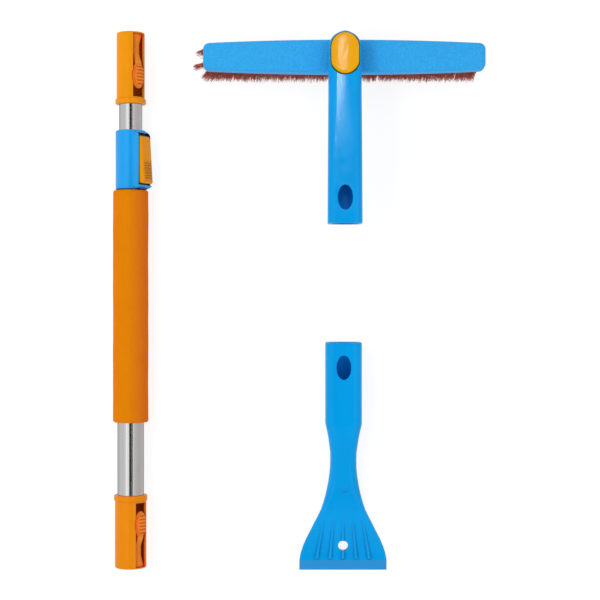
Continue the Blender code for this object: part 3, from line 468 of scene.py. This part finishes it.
def foam_sleeve(look):
    """The foam grip as a soft tube: rolled ends, a slightly uneven skin and a bore over the outer tube."""
    low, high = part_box("foam_grip")
    tube_low, tube_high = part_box("outer_tube")
    centre_x = (tube_low.x + tube_high.x) / 2
    centre_z = (tube_low.z + tube_high.z) / 2
    bore = (tube_high.x - tube_low.x) / 2 + FOAM_BORE_GAP
    rings = foam_outline(low.y, high.y, (high.x - low.x) / 2, bore)
    phases = np.random.default_rng(FOAM_SEED).uniform(0, 2 * math.pi, len(FOAM_WAVES))
    whole = sum(weight for _, _, weight in FOAM_WAVES)
    points = []
    for y, radius, swell in rings:
        for k in range(FOAM_SIDES):
            turn = 2 * math.pi * k / FOAM_SIDES
            wave = sum(weight * math.sin(y * along + phase + around * turn)
                       for (along, around, weight), phase in zip(FOAM_WAVES, phases)) / whole
            r = radius - FOAM_SWELL * swell * (1 + wave)
            points.append((centre_x + r * math.cos(turn), y, centre_z + r * math.sin(turn)))
    faces = []
    for i in range(len(rings)):
        near = i * FOAM_SIDES
        far = (i + 1) % len(rings) * FOAM_SIDES
        for k in range(FOAM_SIDES):
            m = (k + 1) % FOAM_SIDES
            faces.append((near + k, near + m, far + m, far + k))
    return outward(mesh_piece("foam_sleeve", points, faces, look))


def strands(name, roots, tips, bows, radii, look):
    """Many thin three-sided bristles in one mesh, each bowed, tapered and closed at both ends."""
    along = np.linspace(0, 1, BRISTLE_RINGS)
    path = roots[:, None, :] + (tips - roots)[:, None, :] * along[None, :, None]
    bend = np.sin(math.pi * along) + BOW_HOOK * np.sin(2 * math.pi * along)
    path += bows[:, None, :] * bend[None, :, None]
    taper = radii[:, None] * (1.0 - BRISTLE_TAPER * along ** 2)[None, :]
    turn = np.arange(BRISTLE_SIDES) * 2 * math.pi / BRISTLE_SIDES
    ring = np.stack([np.cos(turn), np.sin(turn), np.zeros(BRISTLE_SIDES)], axis=1)
    points = path[:, :, None, :] + taper[:, :, None, None] * ring[None, None, :, :]
    first = np.arange(len(roots)) * BRISTLE_RINGS * BRISTLE_SIDES
    parts = []
    for i in range(BRISTLE_RINGS - 1):
        near, far = first + BRISTLE_SIDES * i, first + BRISTLE_SIDES * (i + 1)
        for k in range(BRISTLE_SIDES):
            m = (k + 1) % BRISTLE_SIDES
            parts.append(np.stack([near + k, far + k, far + m, near + m], axis=1))
    end = first + BRISTLE_SIDES * (BRISTLE_RINGS - 1)
    parts.append(np.stack([end + k for k in reversed(range(BRISTLE_SIDES))], axis=1))
    parts.append(np.stack([first + k for k in range(BRISTLE_SIDES)], axis=1))
    faces = [tuple(int(v) for v in face) for part in parts for face in part]
    return mesh_piece(name, points.reshape(-1, 3), faces, look)


def bristle_row(number, look):
    """One row of tufts under the block, leaning towards the thin left end and ragged at the floor."""
    low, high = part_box(f"bristle_row_{number}")
    block_low, block_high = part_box("brush_block")
    rng = np.random.default_rng(ROW_SEED + number)
    middle_y = (low.y + high.y) / 2
    side = (middle_y - (block_low.y + block_high.y) / 2) / OUTER_ROW
    root_left, root_right = low.x + ROOT_MARGINS[0], high.x - ROOT_MARGINS[1]
    tufts = int((root_right - root_left) / TUFT_STEP)
    root_z = high.z + BRISTLE_ROOT_DEPTH
    centres = np.linspace(root_left + TUFT_RADIUS, root_right - TUFT_RADIUS, tufts)
    roots, tips, bows, radii = [], [], [], []
    for index, centre in enumerate(centres):
        near_left = (1 - index / (tufts - 1)) ** END_FADE
        tuft_lean = -LEFT_LEAN - END_FLARE[number - 1] * near_left + rng.normal(0, TUFT_SCATTER[0])
        tuft_flare = SIDE_FLARE * side * abs(side) * (1 - near_left if side > 0 else 1)
        shortness = max(0.0, rng.normal(0, TUFT_SCATTER[1]))
        for _ in range(TUFT_BRISTLES[number - 1]):
            spread = TUFT_RADIUS * math.sqrt(rng.uniform())
            turn = rng.uniform(0, 2 * math.pi)
            dx, dy = spread * math.cos(turn), spread * math.sin(turn)
            roots.append((centre + dx * ROOT_SPREAD, middle_y + dy * ROOT_SPREAD, root_z))
            tip_x = centre + dx * TIP_SPREAD[0] + tuft_lean + rng.normal(0, TIP_SCATTER[0])
            outward_lean = tuft_flare * rng.uniform(0.1, 1.0) ** 0.5
            tip_y = middle_y + dy * TIP_SPREAD[1] + outward_lean + rng.normal(0, TIP_SCATTER[1])
            tip_z = TIP_HEIGHT + abs(rng.normal(0, TIP_SCATTER[2])) + shortness
            tips.append((tip_x, tip_y, tip_z))
            bows.append((rng.normal(0, BOW_SCATTER), rng.normal(0, BOW_SCATTER), 0.0))
            radii.append(BRISTLE_RADIUS * rng.uniform(*BRISTLE_THICKNESS))
    tips = np.array(tips)
    tips[:, 0] = np.clip(tips[:, 0], low.x - TIP_LIMITS[0], high.x + TIP_LIMITS[1])
    return strands(f"bristles_{number}", np.array(roots), tips, np.array(bows), np.array(radii), look)


def head_spring(look):
    """The head's spring as wound wire, its end turns closed flat."""
    low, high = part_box("pivot_spring")
    coil = (high.x - low.x) / 2 - SPRING_WIRE
    middle = ((low.x + high.x) / 2, (low.y + high.y) / 2)
    count = SPRING_TURNS * SPRING_STEPS + 1
    rise = np.clip((np.linspace(0, SPRING_TURNS, count) - 0.5) / (SPRING_TURNS - 1), 0, 1)
    points, faces = [], []
    for index, share in enumerate(rise):
        angle = 2 * math.pi * index / SPRING_STEPS
        height = low.z + SPRING_WIRE + (high.z - low.z - 2 * SPRING_WIRE) * share
        for facet in range(SPRING_FACETS):
            turn = 2 * math.pi * facet / SPRING_FACETS
            reach = coil + SPRING_WIRE * math.cos(turn)
            points.append((middle[0] + reach * math.cos(angle), middle[1] + reach * math.sin(angle),
                           height + SPRING_WIRE * math.sin(turn)))
    for index in range(count - 1):
        near = index * SPRING_FACETS
        far = near + SPRING_FACETS
        for facet in range(SPRING_FACETS):
            after = (facet + 1) % SPRING_FACETS
            faces.append((near + facet, far + facet, far + after, near + after))
    last = (count - 1) * SPRING_FACETS
    faces.append(tuple(range(SPRING_FACETS)))
    faces.append(tuple(last + facet for facet in reversed(range(SPRING_FACETS))))
    return mesh_piece("head_spring", points, faces, look)


# ---------------------------------------------------------------- floor, camera and lights


def level_corners(half_wide, half_long, height):
    """The corners of a level rectangle about the origin."""
    return [(x * half_wide, y * half_long, height) for x, y in ((-1, -1), (1, -1), (1, 1), (-1, 1))]


def floor(look):
    corners = level_corners(FLOOR_REACH, FLOOR_REACH, -FLOOR_DROP)
    piece = mesh_piece("pale_floor", corners, [(0, 1, 2, 3)], look)
    piece.visible_glossy = False
    piece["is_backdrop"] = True


def camera():
    data = bpy.data.cameras.new("camera")
    data.lens = LENS
    data.sensor_width = SENSOR_WIDTH
    data.clip_end = VIEW_DEPTH
    made = bpy.data.objects.new("camera", data)
    made.location = CAMERA_SPOT
    bpy.context.scene.collection.objects.link(made)
    bpy.context.scene.camera = made


def panel(name, spot, size, brightness, mirrored=True, highlight_on=(), hue=(1.0, 1.0, 1.0)):
    """A rectangular light facing down from LIGHT_HEIGHT, out of the camera's sight: one that lights
    everything, one left out of reflections, or a highlight that only the named nodes mirror. Its energy gives
    it the same radiance, brightness, whatever its size."""
    data = bpy.data.lights.new(name, "AREA")
    data.shape = "RECTANGLE"
    data.size, data.size_y = size
    data.color = hue
    data.energy = brightness * math.pi * size[0] * size[1]
    made = bpy.data.objects.new(name, data)
    made.location = (*spot, LIGHT_HEIGHT)
    made.visible_camera = False
    made.visible_glossy = mirrored
    bpy.context.scene.collection.objects.link(made)
    if highlight_on:
        made.visible_diffuse = False
        mirrors = bpy.data.collections.new(name)
        for node in highlight_on:
            mirrors.objects.link(NODES[node])
        made.light_linking.receiver_collection = mirrors


def softbox(name, side, inner, strips, fill):
    """A softbox of strips that fade outwards from inner, and a fill in its place that nothing mirrors."""
    for index, (wide, brightness) in enumerate(strips):
        middle = inner + side * wide / 2
        panel(f"{name}_softbox_{index + 1}", (middle, 0.0), (wide, STRIP_LENGTH), brightness)
        inner += side * wide
    middle = inner - side * FILL_WIDTH / 2
    panel(f"{name}_fill", (middle, 0.0), (FILL_WIDTH, STRIP_LENGTH), fill, mirrored=False)


def card(name, corners, tone):
    """A flat card that only reflections see."""
    look, tree, shader = new_look(name, specular=0.0)
    grain = noise(tree, place_on(tree), 12.0)
    colour = ramp(tree, grain, ((0.3, grey(tone * 0.97)), (0.7, grey(tone))))
    tree.links.new(colour, shader.inputs["Base Color"])
    shader.inputs["Roughness"].default_value = 1.0
    made = mesh_piece(name, corners, [(0, 1, 2, 3)], look)
    made.visible_camera = False
    made.visible_diffuse = False
    made.visible_shadow = False
    made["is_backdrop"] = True


def cards():
    """A dark card over the gap between the softboxes, and a pale one on edge between pole and head."""
    card("dark_card", level_corners(*DARK_CARD_HALF, DARK_CARD_HEIGHT), 0.03)
    between = (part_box("foam_grip")[1].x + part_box("bristle_row_1")[0].x) / 2
    low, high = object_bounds()
    card("pale_card", [(between, low[1], 0.0), (between, high[1], 0.0),
                       (between, high[1], PALE_CARD_HEIGHT), (between, low[1], PALE_CARD_HEIGHT)], 0.6)


def lighting():
    """Even studio light, the softboxes, and highlights that only the glossy mouldings mirror."""
    world = bpy.data.worlds.new("studio")
    world.use_nodes = True
    back = world.node_tree.nodes["Background"]
    back.inputs["Color"].default_value = (1.0, 1.0, 1.0, 1.0)
    back.inputs["Strength"].default_value = WORLD_STRENGTH
    bpy.context.scene.world = world
    bpy.context.scene.view_settings.view_transform = "Standard"
    softbox("left", -1, GAP_LEFT, LEFT_STRIPS, FILL_LEFT)
    softbox("right", 1, GAP_RIGHT, RIGHT_STRIPS, FILL_RIGHT)
    panel("key_light", (-0.75, 0.30), (0.45, 1.30), 3.6, mirrored=False)
    panel("end_strip", (-0.13, -0.98), (0.86, 0.36), 0.9)
    panel("cap_highlight", (-0.20, 0.55), (0.70, 0.22), 32.0, highlight_on=("pivot_cap",),
          hue=CAP_LAMP_HUE)
    for size, brightness in NECK_LAMPS:
        panel("neck_highlight", (-0.11, 0.48), size, brightness, highlight_on=("brush_neck",),
              hue=NECK_LAMP_HUE)
    for x in SIDE_LAMPS:
        panel("side_glow", (x, -0.1), (0.70, 2.6), 2.2, highlight_on=("brush_neck", "scraper"),
              hue=SIDE_LAMP_HUE)
    cards()


# ---------------------------------------------------------------- putting it together

# The scraper's band below bevel_top is a painted reflection
bevel_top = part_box("scraper")[0].y + SCRAPER_BEVEL
# Each plastic's second colour is painted shade for its crevices, holes and gaps
LOOKS = {
    "blue_plastic": plastic("blue_plastic", BLUE, BLUE_PAINTED_SHADE, 0.15, 0.32, BLUE_GLOSS),
    "scraper_plastic": plastic("scraper_plastic", BLUE, BLUE_PAINTED_SHADE, 0.15, 0.32, BLUE_GLOSS,
                               painted_reflection_band=(bevel_top, "#2f96dc")),
    "housing_plastic": plastic("housing_plastic", "#12a0ee", "#011a48", 0.16, 0.62, HOUSING_GLOSS,
                               painted_shade_levels=(0.32, 0.95)),
    "blue_block": textured_block("blue_block", "#34a6e9", 0.52),
    "orange_plastic": plastic("orange_plastic", ORANGE, ORANGE_PAINTED_SHADE, 0.20, 0.30, ORANGE_GLOSS),
    "lever_plastic": plastic("lever_plastic", ORANGE, "#3c2006", 0.20, 0.30, ORANGE_GLOSS,
                             painted_shade_levels=(0.34, 0.96)),
    "lower_plastic": plastic("lower_plastic", "#ec8a0a", ORANGE_PAINTED_SHADE, 0.20, 0.30, ORANGE_GLOSS),
    "latch_plastic": plastic("latch_plastic", "#f2922a", "#ea5a22", 0.26, 0.30, ORANGE_GLOSS,
                             painted_shade_levels=(0.52, 1.0)),
    "cap_plastic": plastic("cap_plastic", "#ffb602", "#5a2c04", 0.30, 0.28, ORANGE_GLOSS, ripple=0.00001),
    "aluminium_tube": tube_look("aluminium_tube", 0.86),
    "steel": steel_look("steel"),
    "white_plastic": matte_look("white_plastic", "#dcdcd6", 0.5, 900.0, 0.00003),
    "black_rubber": matte_look("black_rubber", "#26262a", 0.8, 1400.0, 0.00008),
}
NODE_LOOKS = {
    "blue_plastic": ("brush_neck",),
    "scraper_plastic": ("scraper",),
    "housing_plastic": ("clamp_housing",),
    "blue_block": ("brush_block",),
    "orange_plastic": ("upper_connector",),
    "lever_plastic": ("clamp_lever",),
    "lower_plastic": ("lower_connector",),
    "latch_plastic": ("lower_latch", "upper_latch"),
    "cap_plastic": ("pivot_cap",),
    "aluminium_tube": ("outer_tube", "inner_tube"),
    "steel": ("lever_pin", "housing_rivet", "lower_rivet", "upper_rivet", "pivot_spring", "ring_screw_1",
              "ring_screw_2", "ring_screw_3"),
    "white_plastic": ("guide_sleeve", "tail_bush", "lock_gear", "retainer_ring"),
    "black_rubber": ("brake_shoe",),
}

for look_name, names in NODE_LOOKS.items():
    for node_name in names:
        mesh = NODES[node_name].data
        mesh.materials.clear()
        mesh.materials.append(LOOKS[look_name])

foam_low, foam_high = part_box("foam_grip")
sleeve = foam_sleeve(foam_look("orange_foam", foam_low.x, foam_high.x))
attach(sleeve, "outer_pole")
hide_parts("foam_grip")

strand_look = bristle_look("red_bristle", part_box("bristle_row_1")[1].z)
for row in range(1, len(TUFT_BRISTLES) + 1):
    row_piece = bristle_row(row, strand_look)
    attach(row_piece, "brush_block")
    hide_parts(f"bristle_row_{row}")

spring = head_spring(LOOKS["steel"])
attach(spring, "brush_head")
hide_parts("pivot_spring")
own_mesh(spring)

floor(floor_look())
camera()
lighting()
